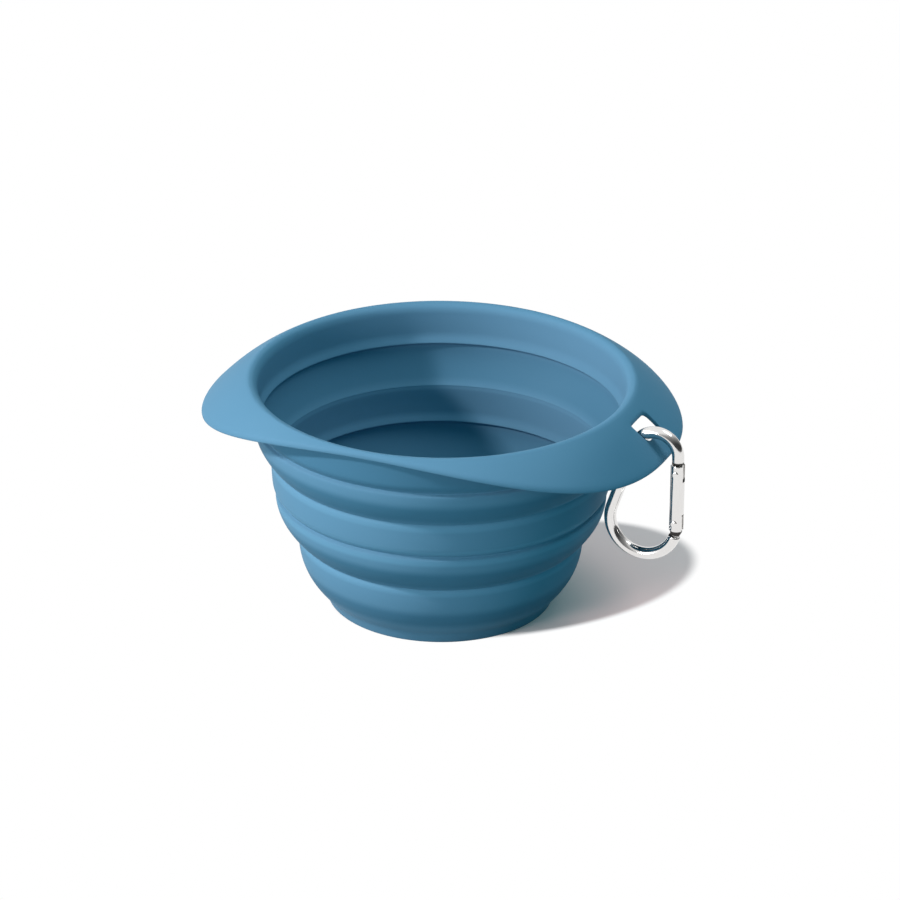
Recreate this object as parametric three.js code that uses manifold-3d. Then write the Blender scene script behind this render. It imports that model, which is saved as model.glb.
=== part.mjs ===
// Collapsible travel bowl: one silicone moulding that folds flat at two thin bands, and a snap carabiner
// that hangs in the slot of one ear. Millimetres, +Z up. The origin is the middle of the flat underside,
// and +X runs along the two ears, towards the slotted one.
import * as THREE from "three";
import { mergeVertices } from "three/addons/utils/BufferGeometryUtils.js";
import Module from "manifold-3d";

// Heights of the bowl's zones, from the surface that it stands on upwards
const baseHeight = 26.2;
const lowerFoldHeight = 16.9;
const middleRingHeight = 13.5;
const upperFoldHeight = 15.0;
const upperRingHeight = 9.0;
const rimHeight = 6.0;

// Outer radius of the foot, and how far each stiff zone stands outside the one below it
const footRadius = 41.0;
const baseStep = 11.0;
const middleRingStep = 9.8;
const upperRingStep = 7.2;
const crestStep = 1.0;

// Walls, measured across
const ringWall = 2.5;
const foldWall = 1.9;
const floorThickness = 3.0;

// Small shapes of the wall: how far a ring turns in at its hinge, and the shoulders beside the creases
const hingeInset = 2.0;
const hingeTurnHeight = 2.6;
const creaseInset = 0.8;
const shoulderHeight = 1.1;
const ringTaper = 0.5;
const foldShoulder = 1.0;
const footHeight = 4.4;
const footFlare = 2.0;
const footEdgeRadius = 0.8;
const floorCornerRadius = 5.0;

// The flange: an oval in plan that droops from the crest of the rim
const sideOverhang = 1.2;
const ovalPower = 2.27;
const flangeSlopeDegrees = 27.5;
const flangeCurlRadius = 28.57;
const flangeThickness = 2.2;
const rimRoundHeight = 3.8;

// The slot through one ear, which the carabiner's wire passes
const earBarWidth = 5.8;
const slotPlay = 2.8;
const slotWidth = 14.0;
const slotEndGap = 0.35;
const slotCornerRadius = 1.6;

// The carabiner
const wireDiameter = 4.4;
const gateDiameter = 5.2;
const topBendRadius = 8.2;
const bottomBendRadius = 12.6;
const bendSpacing = 27.3;
const carabinerOffset = -3.0;
const spineToWallGap = 3.0;
const gateToEarGap = 2.2;
const hangGap = 0.3;
const gateHeadroom = 0.5;
const noseGap = 0.8;
const pivotGap = 1.7;
const lowerEndAngleDegrees = 16;

// The gate's joints: flat tongues of the frame in slots of the gate, and what pushes the gate shut
const tongueThickness = 1.6;
const tongueWidth = 4.0;
const tongueClearance = 0.3;
const pivotRise = 3.2;
const pivotTongueTop = 2.2;
const latchDrop = 3.2;
const latchHookDepth = 1.3;
const latchPlay = 0.35;
const latchEndGap = 0.75;
const rivetRadius = 0.8;
const rivetClearance = 0.1;
const rivetHeadRadius = 1.25;
const rivetHeadHeight = 0.3;
const springBoreRadius = 1.25;
const springBoreLength = 10.5;
const plungerRadius = 1.0;
const plungerLength = 3.6;
const spigotRadius = 0.45;
const spigotLength = 2.4;
const springWireRadius = 0.18;
const springCoilRadius = 0.82;
const springTurns = 6;
const seatGap = 0.3;

// Facets
const aroundSteps = 60;
const foldSteps = 7;
const wireSides = 12;
const wireSteps = 60;
const gateSides = 24;
const rivetSides = 16;
const springSides = 5;
const springStepsPerTurn = 8;

// Levels of the seams between the zones
const lowerCreaseZ = baseHeight;
const lowerHingeZ = lowerCreaseZ + lowerFoldHeight;
const upperCreaseZ = lowerHingeZ + middleRingHeight;
const upperHingeZ = upperCreaseZ + upperFoldHeight;
const rimSeamZ = upperHingeZ + upperRingHeight;
const crestZ = rimSeamZ + rimHeight;

// Outer radii of the stiff zones
const baseRadius = footRadius + baseStep;
const middleRingRadius = baseRadius + middleRingStep;
const upperRingRadius = middleRingRadius + upperRingStep;
const crestRadius = upperRingRadius + crestStep;
const sideReach = crestRadius + sideOverhang;

// Outer radii at the seams, which the zones on both sides share
const lowerCreaseRadius = baseRadius - creaseInset;
const upperCreaseRadius = middleRingRadius - creaseInset;
const lowerHingeRadius = middleRingRadius - ringTaper - hingeInset;
const upperHingeRadius = upperRingRadius - hingeInset;

// The ears reach as far as the carabiner needs to hang clear of the wall, with its gate outside the ear
const wireRadius = wireDiameter / 2;
const gateRadius = gateDiameter / 2;
const gateX = middleRingRadius + spineToWallGap + wireRadius + 2 * bottomBendRadius;
const earReach = gateX - gateRadius - gateToEarGap;

const silicone = new THREE.MeshStandardMaterial({ color: 0x5f97bd, roughness: 0.55, metalness: 0 });
const polishedSteel = new THREE.MeshStandardMaterial({ color: 0xd8d4d1, roughness: 0.18, metalness: 1 });
const springSteel = new THREE.MeshStandardMaterial({ color: 0x9a9a9c, roughness: 0.35, metalness: 1 });

const wasm = await Module();
wasm.setup();

// Solids for cutting and joining

function solidOf(geometry) {
  const bare = geometry.clone();
  bare.deleteAttribute("normal");
  bare.deleteAttribute("uv");
  const merged = mergeVertices(bare, 1e-4);
  const vertProperties = merged.getAttribute("position").array;
  const triVerts = new Uint32Array(merged.index.array);
  return new wasm.Manifold(new wasm.Mesh({ numProp: 3, vertProperties, triVerts }));
}

function geometryOf(solid) {
  const mesh = solid.getMesh();
  const geometry = new THREE.BufferGeometry();
  geometry.setAttribute("position", new THREE.BufferAttribute(mesh.vertProperties, 3));
  geometry.setIndex(new THREE.BufferAttribute(mesh.triVerts, 1));
  geometry.computeVertexNormals();
  return geometry;
}

function joined(first, ...others) {
  return others.reduce((whole, other) => whole.add(solidOf(other)), solidOf(first));
}

function named(name, geometry, material) {
  const mesh = new THREE.Mesh(geometry, material);
  mesh.name = name;
  return mesh;
}

// Rings of the bowl wall: an outer line from the bottom up and an inner line from the top down, revolved

function revolve(profile) {
  const closed = profile[0].x === 0 ? profile : [...profile, profile[0]];
  return new THREE.LatheGeometry(closed, aroundSteps).rotateX(Math.PI / 2);
}

function point(radius, z) {
  return new THREE.Vector2(radius, z);
}

// A thin band that bulges under its hinge and then sweeps in to the crease below
function foldGeometry(hingeRadius, hingeZ, creaseRadius, creaseZ) {
  const bulgeRadius = hingeRadius + foldShoulder;
  const bulgeZ = hingeZ - shoulderHeight;
  const sweep = new THREE.QuadraticBezierCurve(
    point(creaseRadius, creaseZ),
    point(bulgeRadius, (bulgeZ + creaseZ) / 2),
    point(bulgeRadius, bulgeZ),
  );
  const outer = [...sweep.getPoints(foldSteps), point(hingeRadius, hingeZ)];
  const inner = outer.map((p) => point(p.x - foldWall, p.y)).reverse();
  return revolve([...outer, ...inner]);
}

function middleRingGeometry() {
  const waistRadius = middleRingRadius - ringTaper;
  const waistZ = lowerHingeZ + hingeTurnHeight;
  const shoulderZ = upperCreaseZ - shoulderHeight;
  const middleZ = (waistZ + shoulderZ) / 2;
  const outer = [
    point(lowerHingeRadius, lowerHingeZ),
    point(waistRadius, waistZ),
    point(middleRingRadius - ringTaper / 4, middleZ),
    point(middleRingRadius, shoulderZ),
    point(upperCreaseRadius, upperCreaseZ),
  ];
  const inner = [
    point(upperCreaseRadius - foldWall, upperCreaseZ),
    point(middleRingRadius - ringWall, shoulderZ),
    point(middleRingRadius - ringTaper / 4 - ringWall, middleZ),
    point(waistRadius - ringWall, waistZ),
    point(lowerHingeRadius - foldWall, lowerHingeZ),
  ];
  return revolve([...outer, ...inner]);
}

// The inner line steps in above the hinge, which is the ledge that shows inside the bowl
function upperRingGeometry() {
  const turnZ = upperHingeZ + hingeTurnHeight;
  return revolve([
    point(upperHingeRadius, upperHingeZ),
    point(upperRingRadius, turnZ),
    point(upperRingRadius, rimSeamZ),
    point(upperRingRadius - ringWall, rimSeamZ),
    point(upperRingRadius - ringWall, turnZ),
    point(upperHingeRadius - foldWall, upperHingeZ),
  ]);
}

function baseGeometry() {
  const shoulderZ = baseHeight - shoulderHeight;
  const footTopRadius = footRadius + footFlare;
  const bowed = new THREE.CubicBezierCurve(
    point(footTopRadius, footHeight),
    point(footTopRadius + footHeight, footHeight + footHeight),
    point(baseRadius, (footHeight + shoulderZ) / 2),
    point(baseRadius, shoulderZ),
  );
  const outer = [
    point(0, 0),
    point(footRadius - footEdgeRadius, 0),
    point(footRadius, footEdgeRadius),
    ...bowed.getPoints(foldSteps),
    point(lowerCreaseRadius, baseHeight),
  ];
  const innerBow = bowed
    .getPoints(foldSteps)
    .filter((p) => p.y > floorThickness + floorCornerRadius)
    .map((p) => point(p.x - ringWall, p.y))
    .reverse();
  const lowest = innerBow[innerBow.length - 1];
  const corner = new THREE.QuadraticBezierCurve(
    lowest,
    point(footRadius - ringWall, floorThickness),
    point(footRadius - ringWall - floorCornerRadius, floorThickness),
  );
  const inner = [
    point(lowerCreaseRadius - foldWall, baseHeight),
    ...innerBow,
    ...corner.getPoints(4).slice(1),
    point(0, floorThickness),
  ];
  return revolve([...outer, ...inner]);
}

// The rim: a rounded crest whose flange reaches further at the ears than at the sides

function flangeReach(angle) {
  const along = Math.abs(Math.cos(angle) / earReach) ** ovalPower;
  const across = Math.abs(Math.sin(angle) / sideReach) ** ovalPower;
  return (along + across) ** (-1 / ovalPower);
}

function flangeTopZ(radius) {
  const out = radius - crestRadius;
  const slope = Math.tan(THREE.MathUtils.degToRad(flangeSlopeDegrees));
  return crestZ - slope * out - (out * out) / (2 * flangeCurlRadius);
}

const flangeEdgeRadius = flangeThickness * 0.35;
const flangeEdgeLow = flangeThickness - flangeEdgeRadius;

function rimSection(angle) {
  const reach = flangeReach(angle);
  const edgeStart = reach - flangeEdgeRadius;
  const innerRadius = upperRingRadius - ringWall;
  const rootRadius = upperRingRadius + flangeEdgeRadius;
  const underZ = (radius) => flangeTopZ(radius) - flangeThickness;
  const between = (from, to, share) => from + (to - from) * share;
  const section = [
    point(upperRingRadius, rimSeamZ),
    point(upperRingRadius, underZ(upperRingRadius) - flangeEdgeRadius),
  ];
  for (const share of [0, 0.35, 0.7, 1]) {
    const radius = between(rootRadius, edgeStart, share);
    section.push(point(radius, underZ(radius)));
  }
  section.push(point(reach, flangeTopZ(reach) - flangeEdgeLow));
  section.push(point(reach, flangeTopZ(reach) - flangeEdgeRadius));
  for (const share of [1, 0.7, 0.4, 0.15]) {
    const radius = between(crestRadius, edgeStart, share);
    section.push(point(radius, flangeTopZ(radius)));
  }
  const rounding = new THREE.QuadraticBezierCurve(
    point(crestRadius, crestZ),
    point(innerRadius, crestZ),
    point(innerRadius, crestZ - rimRoundHeight),
  );
  section.push(...rounding.getPoints(4), point(innerRadius, rimSeamZ));
  return section;
}

function loftAround(sectionAt) {
  const positions = [];
  const faces = [];
  let count = 0;
  for (let step = 0; step < aroundSteps; step += 1) {
    const angle = (2 * Math.PI * step) / aroundSteps;
    const section = sectionAt(angle);
    count = section.length;
    for (const p of section) positions.push(p.x * Math.cos(angle), p.x * Math.sin(angle), p.y);
  }
  for (let step = 0; step < aroundSteps; step += 1) {
    const next = (step + 1) % aroundSteps;
    for (let i = 0; i < count; i += 1) {
      const above = (i + 1) % count;
      const corners = [step * count + i, next * count + i, next * count + above, step * count + above];
      faces.push(corners[0], corners[1], corners[3], corners[2], corners[3], corners[1]);
    }
  }
  const geometry = new THREE.BufferGeometry();
  geometry.setAttribute("position", new THREE.Float32BufferAttribute(positions, 3));
  geometry.setIndex(faces);
  return geometry;
}

const slotOuterX = earReach - earBarWidth;
const slotInnerX = slotOuterX - wireDiameter - slotPlay;

function slotCutter() {
  // the wire lies at the slot's near end
  const nearY = carabinerOffset - wireRadius - slotEndGap;
  const farY = nearY + slotWidth;
  const r = slotCornerRadius;
  const outline = new THREE.Shape();
  outline.moveTo(slotInnerX + r, nearY);
  outline.lineTo(slotOuterX - r, nearY);
  outline.absarc(slotOuterX - r, nearY + r, r, -Math.PI / 2, 0);
  outline.absarc(slotOuterX - r, farY - r, r, 0, Math.PI / 2);
  outline.absarc(slotInnerX + r, farY - r, r, Math.PI / 2, Math.PI);
  outline.absarc(slotInnerX + r, nearY + r, r, Math.PI, 1.5 * Math.PI);
  return new THREE.ExtrudeGeometry(outline, { depth: crestZ, bevelEnabled: false, curveSegments: 3 });
}

function rimGeometry() {
  return geometryOf(solidOf(loftAround(rimSection)).subtract(solidOf(slotCutter())));
}

// The carabiner hangs on the bar beyond the slot, in a plane along the ears

const topBendX = gateX - topBendRadius;
const bottomBendX = gateX - bottomBendRadius;
const barReach = topBendRadius - wireRadius - hangGap;
const topBendZ = flangeTopZ(slotOuterX) - Math.sqrt(barReach ** 2 - (topBendX - slotOuterX) ** 2);
const bottomBendZ = topBendZ - bendSpacing;
const gateTopZ = flangeTopZ(earReach) - flangeEdgeLow - gateHeadroom;
const lowerEndAngle = THREE.MathUtils.degToRad(lowerEndAngleDegrees);
const lowerEndX = bottomBendX + bottomBendRadius * Math.cos(lowerEndAngle);
const lowerEndZ = bottomBendZ - bottomBendRadius * Math.sin(lowerEndAngle);
const gateBottomZ = lowerEndZ + wireRadius * Math.sin(lowerEndAngle) + pivotGap;
const pivotZ = gateBottomZ + pivotRise;
const latchZ = gateTopZ - latchDrop;
const latchNotchRadius = rivetRadius + latchPlay;
const hookZ = latchZ - latchNotchRadius - latchHookDepth;

// The wire's centre line in the carabiner's own plane: nose, top bend, spine, bottom bend, lower end
class WireLine extends THREE.Curve {
  constructor() {
    super();
    const between = Math.hypot(topBendX - bottomBendX, bendSpacing);
    const lean = Math.asin((bottomBendRadius - topBendRadius) / between);
    const tilt = Math.atan2(topBendX - bottomBendX, bendSpacing);
    const spine = Math.PI - lean - tilt;
    const lowerEnd = 2 * Math.PI - lowerEndAngle;
    this.flat = new THREE.Path();
    this.flat.moveTo(gateX, gateTopZ + noseGap);
    this.flat.lineTo(gateX, topBendZ);
    this.flat.absarc(topBendX, topBendZ, topBendRadius, 0, spine, false);
    this.flat.absarc(bottomBendX, bottomBendZ, bottomBendRadius, spine, lowerEnd, false);
  }

  getPoint(t) {
    const p = this.flat.getPointAt(t);
    return new THREE.Vector3(p.x, carabinerOffset, p.y);
  }
}

function circleShape(radius, sides) {
  const corners = Array.from({ length: sides }, (_, i) => (2 * Math.PI * (i + 0.5)) / sides);
  return new THREE.Shape(corners.map((a) => point(radius * Math.cos(a), radius * Math.sin(a))));
}

// A plate in the carabiner's plane, centred on it, from an outline of x and z
function plate(outline, thickness) {
  const geometry = new THREE.ExtrudeGeometry(outline, { depth: thickness, bevelEnabled: false, curveSegments: 6 });
  return geometry.rotateX(Math.PI / 2).translate(0, carabinerOffset + thickness / 2, 0);
}

// A round bar along Y, across the carabiner's plane
function crossBar(radius, length, x, z) {
  return new THREE.CylinderGeometry(radius, radius, length, rivetSides).translate(x, carabinerOffset, z);
}

function uprightBar(radius, bottomZ, topZ, sides) {
  const height = topZ - bottomZ;
  const bar = new THREE.CylinderGeometry(radius, radius, height, sides).rotateX(Math.PI / 2);
  return bar.translate(gateX, carabinerOffset, bottomZ + height / 2);
}

// The nose's tongue, with a notch on the inner side that the latch rivet rests in
function noseTongue() {
  const half = tongueWidth / 2;
  const notch = latchNotchRadius;
  const rootZ = gateTopZ + noseGap + wireRadius;
  const outline = new THREE.Shape();
  outline.moveTo(gateX - half, hookZ);
  outline.lineTo(gateX + half, hookZ);
  outline.lineTo(gateX + half, rootZ);
  outline.lineTo(gateX - half, rootZ);
  outline.lineTo(gateX - half, latchZ + notch);
  outline.lineTo(gateX, latchZ + notch);
  outline.absarc(gateX, latchZ, notch, Math.PI / 2, -Math.PI / 2, true);
  outline.lineTo(gateX - half, latchZ - notch);
  return plate(outline, tongueThickness);
}

// The lower end's tongue, with a flat top that the plunger presses on
function pivotTongue() {
  const half = tongueWidth / 2;
  const root = wireRadius / 2;
  const shoulderZ = gateBottomZ - pivotGap / 2;
  const outline = new THREE.Shape();
  outline.moveTo(lowerEndX - root, lowerEndZ - root);
  outline.lineTo(lowerEndX + root, lowerEndZ - root);
  outline.lineTo(gateX + half, shoulderZ);
  outline.lineTo(gateX + half, pivotZ + pivotTongueTop);
  outline.lineTo(gateX - half, pivotZ + pivotTongueTop);
  outline.lineTo(gateX - half, shoulderZ);
  return plate(outline, tongueThickness);
}

function frameGeometry() {
  const wire = new THREE.ExtrudeGeometry(circleShape(wireRadius, wireSides), {
    steps: wireSteps,
    extrudePath: new WireLine(),
  });
  const pivotHole = crossBar(rivetRadius + rivetClearance, gateDiameter, gateX, pivotZ);
  return geometryOf(joined(wire, noseTongue(), pivotTongue()).subtract(solidOf(pivotHole)));
}

const tongueSlot = tongueThickness + 2 * tongueClearance;
const pivotSlotTopZ = pivotZ + Math.hypot(tongueWidth / 2, pivotTongueTop) + seatGap;

function gateSlot(fromZ, toZ) {
  const height = toZ - fromZ;
  const box = new THREE.BoxGeometry(gateDiameter * 2, tongueSlot, height);
  return box.translate(gateX, carabinerOffset, fromZ + height / 2);
}

function gateGeometry() {
  const cuts = [
    gateSlot(hookZ - latchEndGap, gateTopZ + noseGap),
    gateSlot(gateBottomZ - pivotGap, pivotSlotTopZ),
    uprightBar(springBoreRadius, pivotSlotTopZ - seatGap, pivotSlotTopZ + springBoreLength, rivetSides),
    crossBar(rivetRadius + rivetClearance, gateDiameter * 2, gateX, latchZ),
    crossBar(rivetRadius + rivetClearance, gateDiameter * 2, gateX, pivotZ),
  ];
  const tube = solidOf(uprightBar(gateRadius, gateBottomZ, gateTopZ, gateSides));
  return geometryOf(cuts.reduce((left, cut) => left.subtract(solidOf(cut)), tube));
}

// A shank through both cheeks of the gate, with a low head on each side
function rivetGeometry(z) {
  const headFrom = gateRadius + rivetClearance;
  const heads = [-1, 1].map((side) =>
    crossBar(rivetHeadRadius, rivetHeadHeight, gateX, z).translate(0, side * (headFrom + rivetHeadHeight / 2), 0),
  );
  const shank = crossBar(rivetRadius, 2 * headFrom + rivetHeadHeight, gateX, z);
  return geometryOf(joined(shank, ...heads));
}

const plungerBottomZ = pivotZ + pivotTongueTop + seatGap;
const plungerTopZ = plungerBottomZ + plungerLength;

function plungerGeometry() {
  const body = uprightBar(plungerRadius, plungerBottomZ, plungerTopZ, rivetSides);
  const spigot = uprightBar(spigotRadius, plungerTopZ - seatGap, plungerTopZ + spigotLength, rivetSides);
  return geometryOf(joined(body, spigot));
}

class SpringLine extends THREE.Curve {
  getPoint(t) {
    const bottomZ = plungerTopZ + seatGap + springWireRadius;
    const topZ = pivotSlotTopZ + springBoreLength - seatGap - springWireRadius;
    const turn = 2 * Math.PI * springTurns * t;
    const x = gateX + springCoilRadius * Math.cos(turn);
    return new THREE.Vector3(x, carabinerOffset + springCoilRadius * Math.sin(turn), bottomZ + (topZ - bottomZ) * t);
  }
}

function springGeometry() {
  return new THREE.ExtrudeGeometry(circleShape(springWireRadius, springSides), {
    steps: springTurns * springStepsPerTurn,
    extrudePath: new SpringLine(),
  });
}

const bowl = new THREE.Group();
bowl.add(
  named("rim_flange", rimGeometry(), silicone),
  named("upper_ring", upperRingGeometry(), silicone),
  named("upper_fold", foldGeometry(upperHingeRadius, upperHingeZ, upperCreaseRadius, upperCreaseZ), silicone),
  named("middle_ring", middleRingGeometry(), silicone),
  named("lower_fold", foldGeometry(lowerHingeRadius, lowerHingeZ, lowerCreaseRadius, lowerCreaseZ), silicone),
  named("base_cup", baseGeometry(), silicone),
);

const carabiner = new THREE.Group();
carabiner.add(
  named("carabiner_frame", frameGeometry(), polishedSteel),
  named("carabiner_gate", gateGeometry(), polishedSteel),
  named("pivot_rivet", rivetGeometry(pivotZ), polishedSteel),
  named("latch_rivet", rivetGeometry(latchZ), polishedSteel),
  named("gate_plunger", plungerGeometry(), springSteel),
  named("gate_spring", springGeometry(), springSteel),
);

const part = new THREE.Group();
part.add(bowl, carabiner);

export default part;
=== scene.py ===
import math

import bmesh
import bpy
from mathutils import Matrix, Vector


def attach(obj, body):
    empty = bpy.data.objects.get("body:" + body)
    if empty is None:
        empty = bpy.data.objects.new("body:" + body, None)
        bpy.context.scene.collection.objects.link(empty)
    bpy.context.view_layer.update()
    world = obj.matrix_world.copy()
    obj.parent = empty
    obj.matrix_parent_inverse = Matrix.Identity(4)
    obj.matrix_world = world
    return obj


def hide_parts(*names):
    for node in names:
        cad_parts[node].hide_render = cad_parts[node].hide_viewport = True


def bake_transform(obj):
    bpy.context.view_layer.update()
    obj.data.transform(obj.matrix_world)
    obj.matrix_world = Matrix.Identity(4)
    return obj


mm = 0.001

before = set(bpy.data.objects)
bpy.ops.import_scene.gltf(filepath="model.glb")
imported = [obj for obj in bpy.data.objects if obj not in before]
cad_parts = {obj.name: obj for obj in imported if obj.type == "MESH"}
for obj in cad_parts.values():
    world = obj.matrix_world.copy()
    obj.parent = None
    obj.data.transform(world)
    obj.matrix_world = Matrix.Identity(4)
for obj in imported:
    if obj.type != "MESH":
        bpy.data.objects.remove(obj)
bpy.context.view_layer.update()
print("frame loaded:", len(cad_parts), "nodes")


# shader maths: a socket that can be added, subtracted and multiplied
class Signal:
    def __init__(self, tree, socket):
        self.tree = tree
        self.socket = socket

    # the one way to a new node: its type, its settings first, then its sockets
    def make(self, kind, settings=None, sockets=None, out=0):
        node = self.tree.nodes.new(kind)
        for key, value in (settings or {}).items():
            if key == "stops":
                ramp = node.color_ramp.elements
                while len(ramp) < len(value):
                    ramp.new(0.5)
                for element, (place, colour) in zip(ramp, value):
                    element.position = place
                    element.color = colour
            else:
                setattr(node, key, value)
        for key, value in (sockets or {}).items():
            if isinstance(value, Signal):
                self.tree.links.new(value.socket, node.inputs[key])
            else:
                node.inputs[key].default_value = value
        return Signal(self.tree, node.outputs[out]) if node.outputs else None

    def math(self, operation, first, second):
        return self.make("ShaderNodeMath", {"operation": operation}, {0: first, 1: second})

    def __add__(self, other):
        return self.math("ADD", self, other)

    def __sub__(self, other):
        return self.math("SUBTRACT", self, other)

    def __mul__(self, other):
        return self.math("MULTIPLY", self, other)

    def __rsub__(self, other):
        return self.math("SUBTRACT", other, self)

    __radd__ = __add__
    __rmul__ = __mul__


def emptyTree(owner):
    owner.use_nodes = True
    owner.node_tree.nodes.clear()
    return Signal(owner.node_tree, None)


def grey(value):
    return (value, value, value, 1)


def mixed(share, first, second, kind="MIX"):
    settings = {"data_type": "RGBA", "blend_type": kind}
    sockets = {"Factor": share, "A": first, "B": second}
    return share.make("ShaderNodeMix", settings, sockets, out="Result")


# a number from one vector, or from two
def measured(operation, *vectors):
    settings = {"operation": operation}
    return vectors[0].make("ShaderNodeVectorMath", settings, dict(enumerate(vectors)), out="Value")


def axisOf(place, axis):
    return place.make("ShaderNodeSeparateXYZ", {}, {"Vector": place}, out=axis)


def noise(place, size, detail):
    return place.make("ShaderNodeTexNoise", {}, {"Vector": place, "Scale": 1 / size, "Detail": detail})


# 0 to 1 as a length passes an edge, and 1 between two edges
def past(length, edge, fade):
    ends = {"Value": length, "From Min": (edge - fade) * mm, "From Max": (edge + fade) * mm}
    return length.make("ShaderNodeMapRange", {"interpolation_type": "SMOOTHSTEP"}, ends)


def band(length, low, high, fade):
    return past(length, low, fade) - past(length, high, fade)


siliconeLook = {
    "colour": (0.107, 0.213, 0.320, 1),
    "deepColour": (0.092, 0.193, 0.295, 1),
    "foldShadeColour": (0.58, 0.73, 0.76, 1),  # painted shade: the folds are painted darker than the rings, inside and out
    "shadedFoldsInside": ((27.5, 41.8), (58.0, 70.3)),
    "shadedFoldsOutside": ((28.0, 36.2), (58.4, 65.9)),
    "foldShadeFade": 1.9,
    "insideShadeShare": 0.65,
    "hollowShadeColour": (0.60, 0.73, 0.76, 1),  # painted shade on the outside, under the flange and at the base's waist
    "shadedHollows": ((9.5, 16.0), (72.6, 84.0)),
    "hollowShadeFade": 2.0,
    "hollowReach": 70.0,  # measured from the bowl's axis, to leave the flange out
    "reachFade": 0.6,
    "edgeHighlightColour": (0.116, 0.238, 0.356, 1),  # painted highlight: the turned edges, which face up, are painted paler
    "edges": ((23.8, 26.2), (39.8, 41.8), (43.8, 45.8), (53.9, 56.3)),
    "edgeHighlightFade": 0.8,
    "sideFade": 6.0,  # from the inside's painted shade to the outside's
    "roughness": 0.50,
    "roughnessChange": 0.10,
    "specular": 0.02,
    "grainSize": 0.9 * mm,
    "grainDepth": 0.010 * mm,
    "grainDetail": 4,
    "grainBump": 0.6,
    "cloudSize": 30 * mm,
    "cloudDetail": 3,
    "cloudShare": 0.7,
}


def siliconeFinish():
    look = siliconeLook
    material = bpy.data.materials.new("silicone")
    tree = emptyTree(material)
    place = tree.make("ShaderNodeTexCoord", out="Object")
    cloud = noise(place, look["cloudSize"], look["cloudDetail"])
    grain = noise(place, look["grainSize"], look["grainDetail"])
    clouded = cloud * look["cloudShare"] + grain * (1 - look["cloudShare"])
    tone = mixed(clouded, look["deepColour"], look["colour"])

    height = axisOf(place, "Z")
    flat = {0: place, 1: (1, 1, 0)}
    level = tree.make("ShaderNodeVectorMath", {"operation": "MULTIPLY"}, flat)
    radius = measured("LENGTH", level)
    facing = tree.make("ShaderNodeTexCoord", out="Normal")
    outside = past(measured("DOT_PRODUCT", level, facing), 0, look["sideFade"])

    def bands(name, fade):
        return sum(band(height, low, high, look[fade]) for low, high in look[name])

    # painted shade: the folds are darker than the rings, less so inside
    folds = bands("shadedFoldsInside", "foldShadeFade") * (1 - outside) * look["insideShadeShare"]
    folds = folds + bands("shadedFoldsOutside", "foldShadeFade") * outside
    # painted shade under the flange and at the base's waist
    near = 1 - past(radius, look["hollowReach"], look["reachFade"])
    shadedHollows = bands("shadedHollows", "hollowShadeFade") * outside * near
    tone = mixed(folds, tone, look["foldShadeColour"], "MULTIPLY")
    tone = mixed(shadedHollows, tone, look["hollowShadeColour"], "MULTIPLY")
    # painted highlight on the turned edges of the outside
    tone = mixed(bands("edges", "edgeHighlightFade") * outside, tone, look["edgeHighlightColour"])

    uneven = grain * 0.5 + cloud * 0.5 - 0.5
    relief = {"Height": grain, "Distance": look["grainDepth"], "Strength": look["grainBump"]}
    shader = tree.make(
        "ShaderNodeBsdfPrincipled",
        {},
        {
            "Base Color": tone,
            "Roughness": look["roughness"] + uneven * look["roughnessChange"],
            "Normal": tree.make("ShaderNodeBump", {}, relief),
            "Specular IOR Level": look["specular"],
        },
    )
    tree.make("ShaderNodeOutputMaterial", {}, {"Surface": shader})
    return material


steelLook = {
    "colour": (0.86, 0.845, 0.83, 1),
    "dullColour": (0.70, 0.69, 0.68, 1),
    "roughness": 0.10,
    "roughnessChange": 0.14,
    "scratchSize": 0.35 * mm,
    "jointShadeColour": (0.045, 0.042, 0.040, 1),  # painted shade: dark in the gaps where the gate meets the frame
    "jointRoughness": 0.30,
    "joints": ((42.3, 44.55), (70.35, 71.3)),
    "jointShadeFade": 0.25,
    "jointSide": 88.5,
    "sideFade": 0.3,
}
springLook = {
    "colour": (0.58, 0.58, 0.59, 1),
    "dullColour": (0.42, 0.42, 0.43, 1),
    "roughness": 0.28,
    "roughnessChange": 0.16,
    "scratchSize": 0.2 * mm,
}
steelWear = {
    "scratchDepth": 0.004 * mm,
    "scratchDetail": 5,
    "scratchBump": 0.5,
    "scratchStretch": 0.12,
    "smearSize": 1 / 140,
    "smearDetail": 2,
}


def steelFinish(name, look):
    wear = steelWear
    material = bpy.data.materials.new(name)
    tree = emptyTree(material)
    place = tree.make("ShaderNodeTexCoord", out="Object")
    # scratches run along the wire, which mostly stands upright
    stretch = {"Vector": place, "Scale": (1, 1, wear["scratchStretch"])}
    scratch = noise(tree.make("ShaderNodeMapping", {}, stretch), look["scratchSize"], wear["scratchDetail"])
    smear = noise(place, wear["smearSize"], wear["smearDetail"])
    tone = mixed(smear * 0.5 + scratch * 0.5, look["dullColour"], look["colour"])
    roughness = look["roughness"] + smear * scratch * look["roughnessChange"]
    if "joints" in look:
        height = axisOf(place, "Z")
        # painted shade in the gaps at the gate's two ends
        jointShade = sum(band(height, low, high, look["jointShadeFade"]) for low, high in look["joints"])
        jointShade = jointShade * past(axisOf(place, "X"), look["jointSide"], look["sideFade"])
        tone = mixed(jointShade, tone, look["jointShadeColour"])
        roughness = roughness + jointShade * look["jointRoughness"]
    relief = {"Height": scratch, "Distance": wear["scratchDepth"], "Strength": wear["scratchBump"]}
    shader = tree.make(
        "ShaderNodeBsdfPrincipled",
        {},
        {
            "Base Color": tone,
            "Metallic": 1.0,
            "Roughness": roughness,
            "Normal": tree.make("ShaderNodeBump", {}, relief),
        },
    )
    tree.make("ShaderNodeOutputMaterial", {}, {"Surface": shader})
    return material


silicone = siliconeFinish()
polishedSteel = steelFinish("polished_steel", steelLook)
springSteel = steelFinish("spring_steel", springLook)
print("finishes made")


def spread(start, end, steps):
    return [start + (end - start) * k / steps for k in range(steps + 1)]


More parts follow.
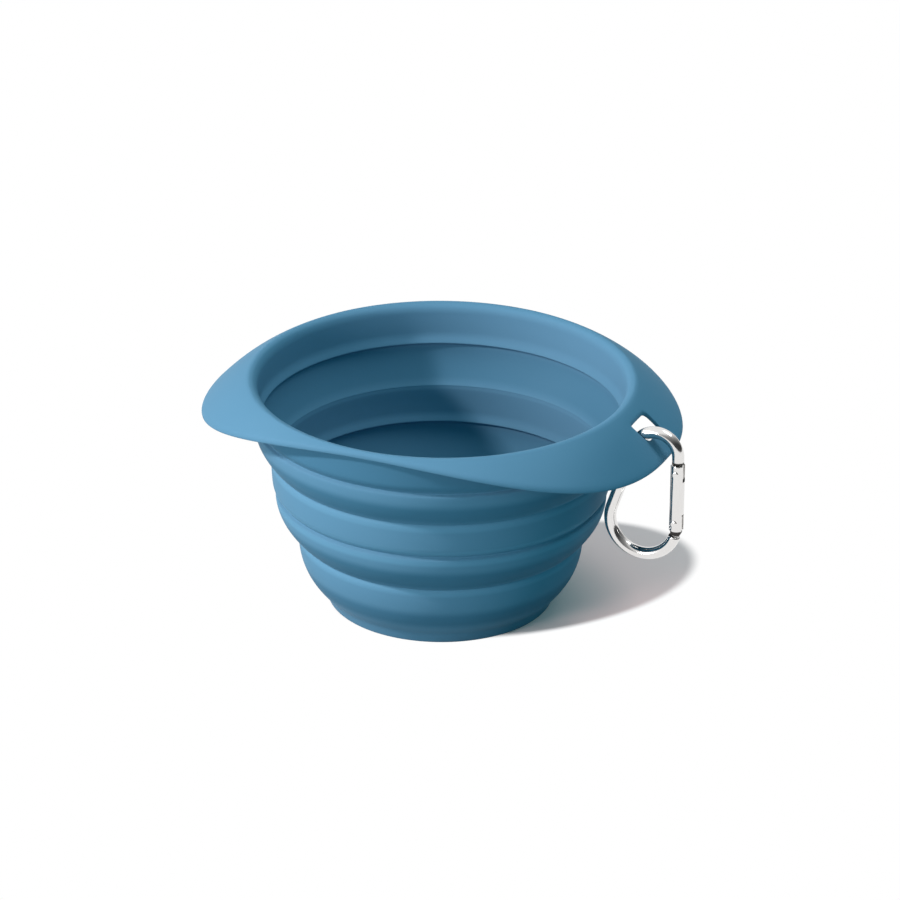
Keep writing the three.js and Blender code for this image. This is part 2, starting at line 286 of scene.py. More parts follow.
# lines in a plane: corners are (across, up, rounding), and come back as a rounded run of points
def rounded(corners, steps=6):
    longest = 0.49  # of the way to the next corner
    points = []
    for i, corner in enumerate(corners):
        here = Vector(corner[:2])
        size = corner[2] if len(corner) > 2 else 0
        if size == 0 or i in (0, len(corners) - 1):
            points.append(here)
            continue
        before = Vector(corners[i - 1][:2]) - here
        after = Vector(corners[i + 1][:2]) - here
        start = here + before.normalized() * min(size, before.length * longest)
        end = here + after.normalized() * min(size, after.length * longest)
        for k in range(steps + 1):
            t = k / steps
            points.append(start * (1 - t) ** 2 + here * 2 * t * (1 - t) + end * t**2)
    return points


def bend(*controls, steps):
    curve = []
    for k in range(steps + 1):
        t = k / steps
        level = [Vector(c) for c in controls]
        while len(level) > 1:
            level = [a * (1 - t) + b * t for a, b in zip(level, level[1:])]
        curve.append(level[0])
    return curve


def arc(centre, radius, angles):
    x, y = centre
    return [Vector((x + radius * math.cos(a), y + radius * math.sin(a))) for a in angles]


def degrees(start, end, steps):
    return [math.radians(a) for a in spread(start, end, steps)]


def finishMesh(name, bm, material, sharpEdges=()):
    bmesh.ops.recalc_face_normals(bm, faces=bm.faces)
    for face in bm.faces:
        face.smooth = True
    for edge in sharpEdges:
        edge.smooth = False
    mesh = bpy.data.meshes.new(name)
    bm.to_mesh(mesh)
    bm.free()
    piece = bpy.data.objects.new(name, mesh)
    bpy.context.scene.collection.objects.link(piece)
    mesh.materials.append(material)
    return piece


# sections are closed runs of points, each joined to the next; sharp names the corners that stay crisp
def loft(sections, sharp=(), ring=True):
    bm = bmesh.new()
    loops = [[bm.verts.new(p) for p in section] for section in sections]
    count = len(loops[0])
    pairs = list(zip(loops, loops[1:]))
    if ring:
        pairs.append((loops[-1], loops[0]))
    for here, there in pairs:
        for k in range(count):
            n = (k + 1) % count
            bm.faces.new((here[k], there[k], there[n], here[n]))
    creases = [bm.edges.get((here[k], there[k])) for here, there in pairs for k in sharp]
    return bm, loops, creases


def stitch(bm, here, there):
    for k in range(len(here)):
        n = (k + 1) % len(here)
        bm.faces.new((here[k], here[n], there[n], there[k]))


bowl = {
    "sides": 240,
    "lowerCrease": (51.65, 26.2),
    "lowerHinge": (59.3, 43.1),
    "upperCrease": (61.45, 56.6),
    "upperHinge": (67.0, 71.6),
    "foldWall": 1.9,
    "ringWall": 2.5,
    "shoulder": 1.1,
    "bulge": 1.0,
    "bulgeLift": 0.15,
    "foldRound": 1.0,
    "hingeRound": 0.35,
    "creaseRound": 0.5,
    "seamRound": 0.1,
    "seamLip": 0.2,
    "turnDrop": 2.4,  # how far below its hinge a fold starts to turn over
}
bowlAngles = spread(0, 2 * math.pi, bowl["sides"])[:-1]


def standing(line, a):
    return [Vector((p.x * math.cos(a), p.x * math.sin(a), p.y)) * mm for p in line]


def siliconePiece(name, bm, creases):
    piece = finishMesh(name, bm, silicone, [e for e in creases if e.is_valid])
    return piece


# a ring of the wall from its outer line, bottom to top, and its inner line, top to bottom
def wallRing(name, outer, inner):
    line = outer + inner
    corners = (0, len(outer) - 1, len(outer), len(line) - 1)
    bm, _, creases = loft([standing(line, a) for a in bowlAngles], corners)
    return siliconePiece(name, bm, creases)


# a thin band that bulges under its hinge and sweeps in to the crease
def foldBand(name, hinge, crease):
    lip, turn = bowl["seamLip"], bowl["foldRound"]
    bulgeR = hinge[0] + bowl["bulge"]
    bulgeZ = hinge[1] - bowl["shoulder"]
    sweep = bend(crease, (bulgeR, (bulgeZ + crease[1]) / 2), (bulgeR, bulgeZ), steps=22)
    start = rounded([crease, (crease[0], crease[1] + lip, turn), tuple(sweep[3])], 5)
    bulge = (bulgeR, bulgeZ + bowl["bulgeLift"], turn)
    top = rounded([tuple(sweep[-3]), bulge, (hinge[0], hinge[1] - lip, bowl["hingeRound"]), hinge])
    outer = start + sweep[4:-3] + top
    inner = [Vector((p.x - bowl["foldWall"], p.y)) for p in reversed(outer)]
    return wallRing(name, outer, inner)


# radius, height and rounding; the inner line is given before the wall is taken off
ringSizes = {
    "outer": [(61.25, 45.5, 1.6), (61.70, 50.6, 2.0), (61.80, 55.5, 1.0)],
    "inner": [(61.80, 55.3, 0.8), (61.70, 50.6, 2.0), (61.25, 45.7, 1.3)],
}


def middleRing(name):
    lip, wall, thin = bowl["seamLip"], bowl["ringWall"], bowl["foldWall"]
    turn = bowl["creaseRound"]
    low, high = bowl["lowerHinge"], bowl["upperCrease"]
    outer = [low, (low[0], low[1] + lip, bowl["hingeRound"])]
    outer += ringSizes["outer"]
    outer += [(high[0], high[1] - lip, turn), high]
    inner = [(high[0] - thin, high[1]), (high[0] - thin, high[1] - lip, bowl["seamRound"])]
    inner += [(r - wall, z, size) for r, z, size in ringSizes["inner"]]
    inner += [(low[0] - thin, low[1] + lip, turn), (low[0] - thin, low[1])]
    return wallRing(name, rounded(outer), rounded(inner))


upperFold = foldBand("upper_fold_band", bowl["upperHinge"], bowl["upperCrease"])
lowerFold = foldBand("lower_fold_band", bowl["lowerHinge"], bowl["lowerCrease"])
waist = middleRing("middle_ring_wall")
print("folds and middle ring made")

baseSizes = {
    "foot": 41.0,
    "footFrom": 38,
    "footRound": 1.0,
    "footTop": (43.0, 4.4),
    "footTopRound": 1.6,
    "belly": (47.4, 8.8),  # the wall bows out towards it
    "radius": 52.0,
    "shoulderZ": 25.1,
    "shoulderRound": 1.1,
    "floor": 3.0,
    "floorFlat": 33.5,
    "floorCorner": 5,  # above the floor the inside follows the outside from here up
    "undersideRings": (4, 12, 20, 28, 35),
    "floorRings": (26, 18, 10, 3),
}


def baseCup(name):
    s = baseSizes
    lip, wall = bowl["seamLip"], bowl["ringWall"]
    top = bowl["lowerCrease"]
    shoulder = (s["radius"], s["shoulderZ"])
    halfway = (s["radius"], (s["footTop"][1] + s["shoulderZ"]) / 2)
    bowed = bend(s["footTop"], s["belly"], halfway, shoulder, steps=20)
    foot = [(s["footFrom"], 0), (s["foot"], 0, s["footRound"]), (*s["footTop"], s["footTopRound"])]
    neck = [(*shoulder, s["shoulderRound"]), (top[0], top[1] - lip, bowl["creaseRound"]), top]
    outer = [Vector((r, 0)) for r in s["undersideRings"]]
    outer += rounded(foot + [tuple(bowed[3])])[1:]
    outer += bowed[4:-2]
    outer += rounded([tuple(bowed[-2])] + neck)[1:]
    thin = top[0] - bowl["foldWall"]
    innerBow = [Vector((p.x - wall, p.y)) for p in reversed(bowed) if p.y > s["floor"] + s["floorCorner"]]
    seam = [(thin, top[1]), (thin, top[1] - lip, bowl["seamRound"])]
    inner = rounded(seam + [tuple(p) for p in innerBow[:2]], 4)
    inner += innerBow[2:]
    corner = (s["foot"] - wall, s["floor"])
    inner += bend(tuple(innerBow[-1]), corner, (s["floorFlat"], s["floor"]), steps=10)[1:]
    inner += [Vector((r, s["floor"])) for r in s["floorRings"]]
    line = outer + inner
    bm, loops, creases = loft([standing(line, a) for a in bowlAngles], (len(outer) - 1, len(outer)))
    # the run from the floor's middle back to the underside's middle is a well: close both discs instead
    last = len(line) - 1
    well = [bm.edges.get((loop[last], loop[0])) for loop in loops]
    bmesh.ops.delete(bm, geom=well, context="EDGES")
    for k, z in ((0, 0.0), (last, s["floor"])):
        middle = bm.verts.new((0, 0, z * mm))
        for i, loop in enumerate(loops):
            bm.faces.new((middle, loop[k], loops[(i + 1) % len(loops)][k]))
    return siliconePiece(name, bm, creases)


base = baseCup("base_cup_wall")
print("base made")

rimSizes = {
    "crest": (70.0, 86.6),
    "roundHeight": 3.8,
    "inside": 66.5,
    "insideRows": (80.6, 77.5),
    "insideShoulder": 74.3,
    "insideRound": 0.6,
    "wall": 69.0,
    "wallRows": (78.0, 80.0, 82.2),
    "wallShoulder": 74.1,
    "shoulderRound": 1.5,
    "root": 1.4,  # how far outside the wall the flange starts
    "ear": 87.4,
    "side": 71.2,
    "oval": 2.27,
    "slope": math.tan(math.radians(27.5)),
    "curlRadius": 28.57,
    "thickness": 2.2,
    "edge": 0.95,
    "edgeTurn": 0.1,
    "narrowest": 0.05,
}


def flangeZ(radius):
    out = radius - rimSizes["crest"][0]
    return rimSizes["crest"][1] - rimSizes["slope"] * out - out * out / (2 * rimSizes["curlRadius"])


def flangeReach(angle):
    n = rimSizes["oval"]
    along = abs(math.cos(angle) / rimSizes["ear"]) ** n
    across = abs(math.sin(angle) / rimSizes["side"]) ** n
    return (along + across) ** (-1 / n)


def rimSection(angle):
    s = rimSizes
    hinge, lip, under, turn = bowl["upperHinge"], bowl["seamLip"], s["thickness"], s["edgeTurn"]
    wall, inside, crest = s["wall"], s["inside"], s["crest"]
    reach = flangeReach(angle)
    root = wall + s["root"]
    low, middle, high = s["wallRows"]
    shoulder = (wall, s["wallShoulder"], s["shoulderRound"])
    outer = rounded([hinge, (hinge[0], hinge[1] + lip, bowl["hingeRound"]), shoulder, (wall, low)])
    outer += [Vector((wall, middle))]
    outer += bend((wall, high), (wall, flangeZ(wall) - under), (root, flangeZ(root) - under), steps=6)
    stop = max(reach - s["edge"], root + s["narrowest"])
    outer += [Vector((r, flangeZ(r) - under)) for r in spread(root, stop, 12)[1:]]
    # a round edge, low side first
    tip = (reach, flangeZ(reach) - under / 2)
    outer += bend(outer[-1], (reach, flangeZ(reach) - under + turn), tip, steps=4)[1:]
    outer += bend(tip, (reach, flangeZ(reach) - turn), (stop, flangeZ(stop)), steps=4)[1:]
    outer += [Vector((r, flangeZ(r))) for r in spread(stop, crest[0], 14)[1:]]
    inner = bend(crest, (inside, crest[1]), (inside, crest[1] - s["roundHeight"]), steps=12)[1:]
    thin = hinge[0] - bowl["foldWall"]
    down = [(inside, z) for z in s["insideRows"]]
    down += [(inside, s["insideShoulder"], s["shoulderRound"])]
    down += [(thin, hinge[1] + lip, s["insideRound"]), (thin, hinge[1])]
    return outer + inner + rounded(down)


slotSizes = {
    "from": 74.4,
    "to": 81.6,
    "near": -5.55,
    "far": 8.45,
    "corner": 1.6,
    "wireCorner": 2.7,  # the one that the wire hangs over
    "edge": 0.55,
    "sideSteps": 6,
    "flange": (71.5, 86),  # the radii between which the flange is opened
    "clear": 1.25,
}


def slotEdge(grow):
    s = slotSizes
    corners = [
        (s["to"], s["near"], -90, s["wireCorner"]),
        (s["to"], s["far"], 0, s["corner"]),
        (s["from"], s["far"], 90, s["corner"]),
        (s["from"], s["near"], 180, s["corner"]),
    ]
    arcs = []
    for x, y, first, size in corners:
        x += size if x == s["from"] else -size
        y += size if y == s["near"] else -size
        arcs.append(arc((x, y), size + grow, degrees(first, first + 90, 6)))
    loop = []
    for here, after in zip(arcs, arcs[1:] + arcs[:1]):
        loop += here
        loop += [here[-1].lerp(after[0], t) for t in spread(0, 1, s["sideSteps"])[1:-1]]
    return loop


def outsideSlot(x, y):
    s = slotSizes
    cx, hx = (s["from"] + s["to"]) / 2, (s["to"] - s["from"]) / 2
    cy, hy = (s["near"] + s["far"]) / 2, (s["far"] - s["near"]) / 2
    dx, dy = abs(x - cx) - hx + s["corner"], abs(y - cy) - hy + s["corner"]
    return math.hypot(max(dx, 0), max(dy, 0)) + min(max(dx, dy), 0) - s["corner"]


def cutSlot(bm):
    drop, edge, clear = rimSizes["thickness"], slotSizes["edge"], slotSizes["clear"]
    inner, outer = slotSizes["flange"]
    gone = []
    for v in bm.verts:
        x, y = v.co.x / mm, v.co.y / mm
        if x > 0 and inner < math.hypot(x, y) < outer and outsideSlot(x, y) < clear:
            gone.append(v)
    bmesh.ops.delete(bm, geom=gone, context="VERTS")
    high, low = [], []
    for e in [e for e in bm.edges if e.is_boundary]:
        x, y, z = ((e.verts[0].co + e.verts[1].co) / 2 / mm)[:]
        (high if z > flangeZ(math.hypot(x, y)) - drop / 2 else low).append(e)
    # rounded edge of the slot, from the top face down to the bottom face
    turns = [(edge * (1 - math.sin(a)), edge * (1 - math.cos(a))) for a in spread(0, math.pi / 2, 4)]
    steps = [(grow, -sink) for grow, sink in turns]
    steps += [(grow, sink - drop) for grow, sink in reversed(turns)]
    loops = []
    for grow, rise in steps:
        points = [Vector((p.x, p.y, flangeZ(p.length) + rise)) * mm for p in slotEdge(grow)]
        loops.append([bm.verts.new(p) for p in points])
    for here, there in zip(loops, loops[1:]):
        stitch(bm, here, there)
    for side, loop in ((high, loops[0]), (low, loops[-1])):
        ring = [bm.edges.get(pair) for pair in zip(loop, loop[1:] + loop[:1])]
        bmesh.ops.bridge_loops(bm, edges=side + ring)


def rimMoulding(name):
    sections = [standing(rimSection(a), a) for a in bowlAngles]
    bm, _, creases = loft(sections, (0, len(sections[0]) - 1))
    cutSlot(bm)
    return siliconePiece(name, bm, creases)


rim = rimMoulding("rim_moulding")
print("rim made:", len(rim.data.polygons), "faces")

hook = {
    "plane": -3.0,
    "gateX": 92.2,
    "wire": 2.2,
    "wireEnds": [(0.0, 0.72), (0.12, 0.88), (0.32, 0.97), (0.6, 1.0)],  # turned over a little
    "topCentre": (84.0, 72.933),
    "topRadius": 8.2,
    "bottomCentre": (79.6, 45.633),
    "bottomRadius": 12.6,
    "lowerEnd": math.radians(16),
    "noseZ": 71.11,
    "pivotZ": 47.77,
    "latchZ": 67.11,
    "tongueHalf": 2.0,
    "tongueThick": 1.6,
    "tongueReach": 2.2,  # up into the wire at the nose, and past the pivot
    "notch": 1.15,
    "lip": 1.3,  # what is left of the nose's tongue under its notch
    "footHalf": 1.1,
    "footGap": 0.85,
    "rivetHole": 0.9,
    "sides": 40,
}


def wireLine():
    h = hook
    tx, tz = h["topCentre"]
    bx, bz = h["bottomCentre"]
    lean = math.asin((h["bottomRadius"] - h["topRadius"]) / math.hypot(tx - bx, tz - bz))
    spine = math.pi - lean - math.atan2(tx - bx, tz - bz)
    line = [Vector((h["gateX"], z)) for z in spread(h["noseZ"], tz, 4)]
    line += arc(h["topCentre"], h["topRadius"], spread(0, spine, 56)[1:])
    lower = arc(h["bottomCentre"], h["bottomRadius"], spread(spine, 2 * math.pi - h["lowerEnd"], 84))
    line += [line[-1].lerp(lower[0], t) for t in spread(0, 1, 12)[1:-1]]
    return line + lower


def onHook(x, z, y=0.0):
    return Vector((x, hook["plane"] + y, z)) * mm


def closeEnds(bm, first, last):
    bm.faces.new(first)
    bm.faces.new(list(reversed(last)))


def hookWire(name):
    line, ends = wireLine(), hook["wireEnds"]
    tangents = [(b - a).normalized() for a, b in zip(line[:1] + line[:-1], line[1:] + line[-1:])]
    stations = [(line[0] + tangents[0] * d, tangents[0], share) for d, share in ends]
    stations += [(p, t, 1.0) for p, t in zip(line[2:-2], tangents[2:-2])]
    stations += [(line[-1] - tangents[-1] * d, tangents[-1], share) for d, share in reversed(ends)]
    sections = []
    for p, t, share in stations:
        across = Vector((t.y, -t.x))
        section = []
        for a in spread(0, 2 * math.pi, hook["sides"])[:-1]:
            q = p + across * (hook["wire"] * share * math.cos(a))
            section.append(onHook(q.x, q.y, hook["wire"] * share * math.sin(a)))
        sections.append(section)
    bm, loops, _ = loft(sections, ring=False)
    closeEnds(bm, loops[0], loops[-1])
    return finishMesh(name, bm, polishedSteel)


# a flat plate in the hook's plane, from an outline of (x, z)
def plate(name, outline, thickness):
    bm = bmesh.new()
    front = [bm.verts.new(onHook(x, z, -thickness / 2)) for x, z in outline]
    back = [bm.verts.new(onHook(x, z, thickness / 2)) for x, z in outline]
    closeEnds(bm, front, back)
    stitch(bm, front, back)
    return finishMesh(name, bm, polishedSteel)


# a turned piece: a line of (radius, distance along), about the gate's upright axis or across the hook
def turned(name, line, material, centreZ=0.0, upright=True, sides=40):
    bm = bmesh.new()
    loops = []
    for a in spread(0, 2 * math.pi, sides)[:-1]:
        loop = []
        for r, d in line:
            x, out = hook["gateX"] + r * math.cos(a), r * math.sin(a)
            loop.append(bm.verts.new(onHook(x, d, out) if upright else onHook(x, centreZ + out, d)))
        loops.append(loop)
    for here, there in zip(loops, loops[1:] + loops[:1]):
        for k in range(len(line) - 1):
            bm.faces.new((here[k], here[k + 1], there[k + 1], there[k]))
    bm.faces.new([loop[0] for loop in loops])
    bm.faces.new([loop[-1] for loop in reversed(loops)])
    return finishMesh(name, bm, material)


# joins or cuts one solid with another, which is then gone
def carve(piece, tool, operation):
    modifier = piece.modifiers.new("carve", "BOOLEAN")
    modifier.object = tool
    modifier.operation = operation
    modifier.solver = "EXACT"
    graph = bpy.context.evaluated_depsgraph_get()
    mesh = bpy.data.meshes.new_from_object(piece.evaluated_get(graph))
    piece.modifiers.clear()
    old = piece.data
    piece.data = mesh
    bpy.data.meshes.remove(old)
    bpy.data.objects.remove(tool)


# crisp edges where faces meet at more than the angle, smooth elsewhere
def crisp(piece, angle=32):
    bm = bmesh.new()
    bm.from_mesh(piece.data)
    bmesh.ops.remove_doubles(bm, verts=bm.verts, dist=1e-7)
    for face in bm.faces:
        face.smooth = True
    for edge in bm.edges:
        edge.smooth = edge.is_manifold and edge.calc_face_angle(0) < math.radians(angle)
    bm.to_mesh(piece.data)
    bm.free()


# a drill across the hook, longer than anything it goes through
def crossDrill(name, z):
    line = [(hook["rivetHole"], -4), (hook["rivetHole"], 4)]
    return turned(name, line, polishedSteel, z, upright=False, sides=24)


gateSizes = {
    "radius": 2.6,
    "z": (44.57, 70.31),
    "turn": 0.3,
    "plainFrom": 1.2,
    "slotThick": 2.2,
    "slotGap": 0.3,
    "latchGap": 0.75,
    "boreRadius": 1.25,
    "bore": (-0.3, 10.5),  # from the end of the pivot's slot
}


def hookFrame(name):
    h = hook
    x, half, notch = h["gateX"], h["tongueHalf"], h["notch"]
    left, right = x - half, x + half
    lipZ, noseTop = h["latchZ"] - notch - h["lip"], h["noseZ"] + h["tongueReach"]
    nose = [(left, lipZ), (right, lipZ), (right, noseTop), (left, noseTop), (left, h["latchZ"] + notch)]
    nose += arc((x, h["latchZ"]), notch, degrees(90, -90, 10)) + [(left, h["latchZ"] - notch)]
    endX = h["bottomCentre"][0] + h["bottomRadius"] * math.cos(h["lowerEnd"])
    endZ = h["bottomCentre"][1] - h["bottomRadius"] * math.sin(h["lowerEnd"])
    low, reach = h["footHalf"], h["pivotZ"] + h["tongueReach"]
    shoulder = gateSizes["z"][0] - h["footGap"]
    foot = [(endX - low, endZ - low), (endX + low, endZ - low), (right, shoulder), (right, reach)]
    foot += [(left, reach), (left, shoulder)]
    wire = hookWire(name)
    carve(wire, plate("nose_tongue", nose, h["tongueThick"]), "UNION")
    carve(wire, plate("pivot_tongue", foot, h["tongueThick"]), "UNION")
    carve(wire, crossDrill("pivot_hole", h["pivotZ"]), "DIFFERENCE")
    crisp(wire)
    return wire


def hookGate(name):
    h, s = hook, gateSizes
    low, high = s["z"]
    r, turn, plain = s["radius"], s["turn"], s["plainFrom"]
    line = [(r - turn, low), (r - turn * 0.3, low + turn * 0.3), (r, low + turn)]
    line += [(r, z) for z in spread(low + plain, high - plain, 10)]
    line += [(r, high - turn), (r - turn * 0.3, high - turn * 0.3), (r - turn, high)]
    gate = turned(name, line, polishedSteel, sides=56)
    left, right = h["gateX"] - 4, h["gateX"] + 4  # well outside the gate
    pivotHigh = h["pivotZ"] + math.hypot(h["tongueHalf"], h["tongueReach"]) + s["slotGap"]
    latchLow = h["latchZ"] - h["notch"] - h["lip"] - s["latchGap"]
    for start, end in ((latchLow, high + 1), (low - 1, pivotHigh)):
        box = [(left, start), (right, start), (right, end), (left, end)]
        carve(gate, plate("tongue_slot", box, s["slotThick"]), "DIFFERENCE")
    bore = [(s["boreRadius"], pivotHigh + d) for d in s["bore"]]
    carve(gate, turned("spring_bore", bore, polishedSteel, sides=24), "DIFFERENCE")
    for z in (h["latchZ"], h["pivotZ"]):
        carve(gate, crossDrill("rivet_hole", z), "DIFFERENCE")
    crisp(gate)
    return gate


rivetSizes = {
    "head": 1.25,
    "shank": 0.8,
    "gap": 0.1,
    "dome": 0.3,
    "domeLine": ((0.25, 1.0), (0.7, 0.9), (1.05, 0.6), (1.25, 0.2)),  # radius, share of the dome's height
}


def rivet(name, z):
    s = rivetSizes
    start = gateSizes["radius"] + s["gap"]
    dome = [(r, -start - s["dome"] * share) for r, share in s["domeLine"]]
    line = dome + [(s["head"], -start), (s["shank"], -start), (s["shank"], start), (s["head"], start)]
    line += [(r, -d) for r, d in reversed(dome)]
    piece = turned(name, line, polishedSteel, z, upright=False, sides=32)
    crisp(piece, 40)
    return piece


springSizes = {"turns": 6, "wire": 0.18, "coil": 0.82, "from": 54.36, "to": 61.06, "sides": 10, "perTurn": 28}


def gateSpring(name):
    s = springSizes
    sections = []
    steps = s["turns"] * s["perTurn"]
    for k in range(steps + 1):
        a = 2 * math.pi * s["turns"] * k / steps
        z = s["from"] + (s["to"] - s["from"]) * k / steps
        out, up = Vector((math.cos(a), math.sin(a), 0)), Vector((0, 0, 1))
        centre = Vector((hook["gateX"], hook["plane"], z)) + out * s["coil"]
        ring = arc((0, 0), s["wire"], spread(0, 2 * math.pi, s["sides"])[:-1])
        sections.append([(centre + out * p.x + up * p.y) * mm for p in ring])
    bm, loops, _ = loft(sections, ring=False)
    closeEnds(bm, loops[0], loops[-1])
    piece = finishMesh(name, bm, springSteel)
    return piece


plungerSizes = {
    "low": 50.27,
    "top": 53.87,
    "radius": 1.0,
    "lowTurn": 0.2,
    "topTurn": 0.15,
    "pin": 0.45,
    "pinTop": 2.4,
    "pinTurn": 0.15,
}


def gatePlunger(name):
    s = plungerSizes
    low, top, r, pin, pinTop = s["low"], s["top"], s["radius"], s["pin"], s["top"] + s["pinTop"]
    line = [(r - s["lowTurn"], low), (r, low + s["lowTurn"])]
    line += [(r, top - s["topTurn"]), (r - s["topTurn"], top)]
    line += [(pin, top), (pin, pinTop - s["pinTurn"]), (pin - s["pinTurn"], pinTop)]
    piece = turned(name, line, springSteel, sides=32)
    crisp(piece)
    return piece


frameWire = hookFrame("hook_frame")
gateBar = hookGate("hook_gate")
pivot = rivet("hook_pivot_rivet", hook["pivotZ"])
latch = rivet("hook_latch_rivet", hook["latchZ"])
spring = gateSpring("hook_gate_spring")
plunger = gatePlunger("hook_gate_plunger")
print("hook made")

# what each piece stands for and moves with
riders = [
    (rim, "rim", ["rim_flange", "upper_ring"]),
    (waist, "middle", ["middle_ring"]),
    (base, "base", ["base_cup"]),
    (frameWire, "carabiner", ["carabiner_frame"]),
    (pivot, "carabiner", ["pivot_rivet"]),
    (gateBar, "gate", ["carabiner_gate"]),
    (latch, "gate", ["latch_rivet"]),
    (plunger, "plunger", ["gate_plunger"]),
]
for piece, body, nodes in riders:
    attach(piece, body)
    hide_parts(*nodes)
# the folds turn over and the spring shortens; here each is fixed in place at rest and follows no body
upperTurn = bowl["upperHinge"][1] - bowl["turnDrop"]
lowerTurn = bowl["lowerHinge"][1] - bowl["turnDrop"]
followers = [
    (upperFold, "upper_fold", "rim", "middle", upperTurn, bowl["upperCrease"][1]),
    (lowerFold, "lower_fold", "middle", "base", lowerTurn, bowl["lowerCrease"][1]),
    (spring, "gate_spring", "plunger", "gate", springSizes["from"], springSizes["to"]),
]
for piece, node, first, second, start, end in followers:
    x, y = (hook["gateX"], hook["plane"]) if piece is spring else (0, 0)
    x * mm
    y * mm
    start * mm
    x * mm
    y * mm
    end * mm
    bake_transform(piece)
    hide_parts(node)
print("pieces placed:", len(riders), "rigid and", len(followers), "that give")

floorLook = {
    "half": 3.0,
    "drop": 0.05 * mm,
    "under": (0.92, 0.77, 0.76, 1),  # painted shadow tint: the floor is more neutral under the bowl and pinker away from it, to set its shadow's colour
    "away": (0.95, 0.59, 0.57, 1),
    "reach": (34.0, 30.0),
    "bounce": (0.14, 0.31, 0.33, 1),
    "shadeMiddle": (21.1, 22.6),  # painted shadow outline: beyond this oval the floor glows plain white, so the shadow ends at its edge
    "shadeHalf": (44.0, 70.0),
    "shadeTurn": math.radians(-43.7),
    "shadeFade": 0.045,
    "white": 0.04,
}


# 1 for rays that show the floor or the room in the picture, straight or by reflection
def seenDirectly(tree):
    kinds = ("Is Camera Ray", "Is Glossy Ray", "Is Transmission Ray")
    camera, glossy, through = (tree.make("ShaderNodeLightPath", out=kind) for kind in kinds)
    return camera + glossy + through


def paleFloor():
    look = floorLook
    material = bpy.data.materials.new("pale_floor")
    tree = emptyTree(material)
    seen = seenDirectly(tree)
    place = tree.make("ShaderNodeTexCoord", out="Object")
    # painted shadow tint, changing with distance from the bowl's axis
    tone = mixed(past(measured("LENGTH", place), *look["reach"]), look["under"], look["away"])
    # the light it sends back to the bowl is that of a greyer floor
    paint = tree.make("ShaderNodeBsdfDiffuse", {}, {"Color": mixed(seen, look["bounce"], tone)})
    glow = tree.make("ShaderNodeEmission", {}, {"Color": grey(1), "Strength": 1.0})
    oval = tree.make(
        "ShaderNodeMapping",
        {"vector_type": "TEXTURE"},
        {
            "Vector": place,
            "Location": (*(c * mm for c in look["shadeMiddle"]), 0),
            "Rotation": (0, 0, look["shadeTurn"]),
            "Scale": (*(c * mm for c in look["shadeHalf"]), 1),
        },
    )
    # painted shadow outline: white outside the oval, the real shadow inside
    white = tree.make(
        "ShaderNodeMapRange",
        {"interpolation_type": "SMOOTHSTEP"},
        {
            "Value": measured("LENGTH", oval),
            "From Min": 1 - look["shadeFade"],
            "From Max": 1 + look["shadeFade"],
            "To Min": look["white"],
            "To Max": 1.0,
        },
    )
    both = tree.make("ShaderNodeMixShader", {}, {"Fac": seen * white, 1: paint, 2: glow})
    tree.make("ShaderNodeOutputMaterial", {}, {"Surface": both})
    half = look["half"]
    corners = [(-half, -half, 0), (half, -half, 0), (half, half, 0), (-half, half, 0)]
    mesh = bpy.data.meshes.new("floor")
    mesh.from_pydata(corners, [], [(0, 1, 2, 3)])
    mesh.materials.append(material)
    floor = bpy.data.objects.new("floor", mesh)
    bpy.context.scene.collection.objects.link(floor)
    floor.location.z = -look["drop"]


paleFloor()

lights = {
    "key": {"azimuth": 214, "elevation": 32, "size": 0.16, "power": 28.0, "colour": (1, 0.99, 0.97)},
    "front": {"azimuth": 246, "elevation": 12, "size": 0.5, "power": 19.0, "colour": (1, 1, 1)},
    "back": {"azimuth": 24, "elevation": 66, "size": 0.7, "power": 13.0, "colour": (0.94, 1, 1)},
}
lightTarget = Vector((0, 0, 0.05))
lightDistance = 1.8


def softLight(name, s):
    a, e = math.radians(s["azimuth"]), math.radians(s["elevation"])
    back = Vector((math.cos(a) * math.cos(e), math.sin(a) * math.cos(e), math.sin(e)))
    lamp = bpy.data.lights.new(name, "AREA")
    lamp.energy = s["power"]
    lamp.size = s["size"]
    lamp.color = s["colour"]
    light = bpy.data.objects.new(name, lamp)
    bpy.context.scene.collection.objects.link(light)
    light.location = lightTarget + back * lightDistance
    light.rotation_euler = back.to_track_quat("Z", "Y").to_euler()


for name, s in lights.items():
    softLight(name, s)

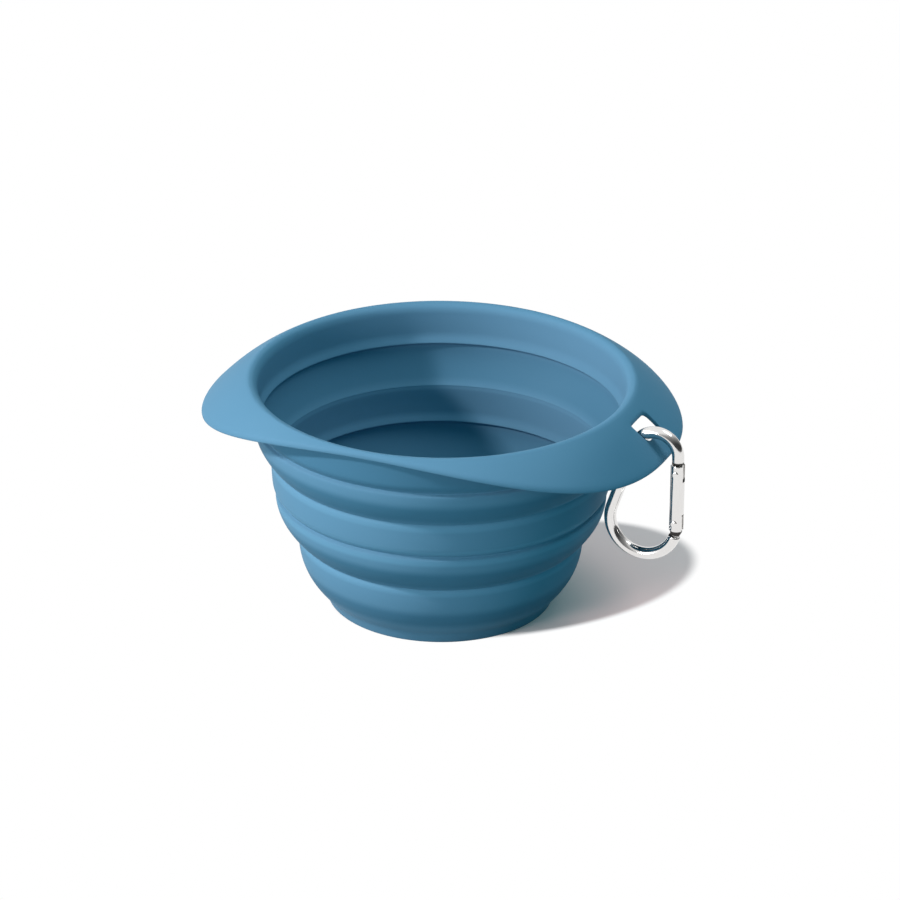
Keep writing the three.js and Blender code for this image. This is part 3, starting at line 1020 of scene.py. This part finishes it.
room = {
    "fill": (0.10, 0.43, 0.48, 1),
    "bright": (-0.75, 0.2, 0.63),  # where the steel sees the most light
    "stops": [(0.30, 0.05), (0.50, 0.30), (0.66, 1.0)],
}


def whiteRoom():
    world = bpy.data.worlds.new("white_room")
    bpy.context.scene.world = world
    tree = emptyTree(world)
    view = tree.make("ShaderNodeTexCoord", out="Generated")
    toward = measured("DOT_PRODUCT", view, room["bright"])
    stops = [(place, grey(value)) for place, value in room["stops"]]
    seen = tree.make("ShaderNodeValToRGB", {"stops": stops}, {"Fac": toward * 0.5 + 0.5}, out="Color")
    colour = mixed(seenDirectly(tree), room["fill"], seen)
    shader = tree.make("ShaderNodeBackground", {}, {"Color": colour, "Strength": 1.0})
    tree.make("ShaderNodeOutputWorld", {}, {"Surface": shader})


whiteRoom()
print("floor and light made")

shot = {
    "target": (0, 0, 45.5),
    "azimuth": 22.5,
    "elevation": 25.2,
    "distance": 1820,
    "aim": (3.13, 11.03),  # how far right and up of the target the picture's middle is
    "roll": 0.45,
    "lens": 200,
    "sensor": 36,
    "clip": (0.05, 50),
}


def photoCamera():
    a, e = math.radians(shot["azimuth"]), math.radians(shot["elevation"])
    back = Vector((math.sin(a) * math.cos(e), -math.cos(a) * math.cos(e), math.sin(e)))
    target = Vector(shot["target"])
    eye = target + back * shot["distance"]
    right = Vector((math.cos(a), math.sin(a), 0))
    up = back.cross(right)
    forward = (target + right * shot["aim"][0] + up * shot["aim"][1] - eye).normalized()
    right = forward.cross(Vector((0, 0, 1))).normalized()
    up = right.cross(forward)
    c, s = math.cos(math.radians(shot["roll"])), math.sin(math.radians(shot["roll"]))
    axes = (right * c + up * s, up * c - right * s, -forward)
    data = bpy.data.cameras.new("photo_camera")
    data.lens = shot["lens"]
    data.sensor_width = shot["sensor"]
    data.clip_start, data.clip_end = shot["clip"]
    camera = bpy.data.objects.new("photo_camera", data)
    bpy.context.scene.collection.objects.link(camera)
    camera.matrix_world = Matrix.Translation(eye * mm) @ Matrix(axes).transposed().to_4x4()
    bpy.context.scene.camera = camera


photoCamera()
bpy.context.scene.view_settings.view_transform = "Standard"
